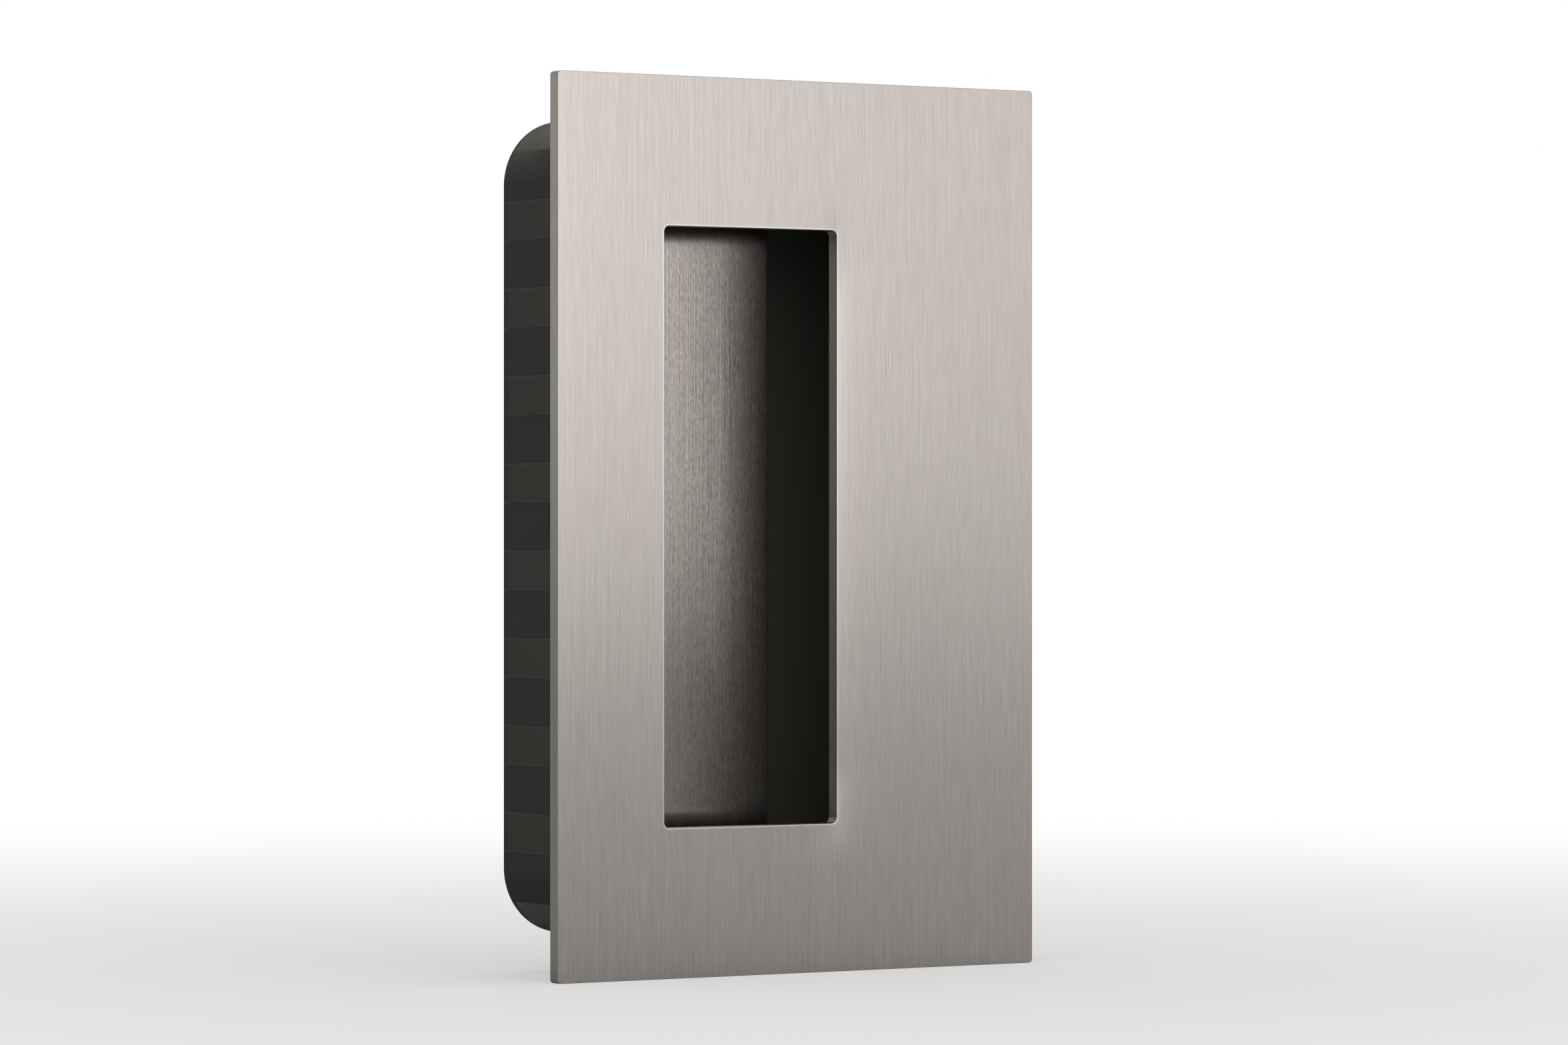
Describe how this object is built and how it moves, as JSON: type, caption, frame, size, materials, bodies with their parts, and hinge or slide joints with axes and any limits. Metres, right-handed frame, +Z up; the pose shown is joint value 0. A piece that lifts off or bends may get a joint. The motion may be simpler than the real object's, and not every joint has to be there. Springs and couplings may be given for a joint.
{
  "type": "recessed pull handle",
  "caption": "Flush pull for a sliding door: flat brushed stainless faceplate with an off-centre finger slot over a black moulded housing with an undercut pocket.",
  "frame": {"origin": "middle of the faceplate's outline, on the plane of the door's face (the plate's back)", "axes": "+X to the right as seen from the front, +Y into the door, +Z up"},
  "size_m": [0.075, 0.024, 0.12],
  "materials": {
    "brushed_stainless": "stainless sheet, brushed along its height",
    "black_abs": "moulded ABS, fine satin texture",
    "inlay_stainless": "stainless sheet, coarsely brushed along its height",
    "bonding_film": "double-sided acrylic film",
    "turned_stainless": "turned and welded",
    "zinc_plated_steel": "zinc plated"
  },
  "bodies": {
    "root": {"faceplate": "brushed_stainless", "housing": "black_abs", "floor_inlay": "inlay_stainless", "inlay_tape": "bonding_film", "weld_bushes": "turned_stainless", "housing_screws": "zinc_plated_steel"}
  },
  "joints": []
}
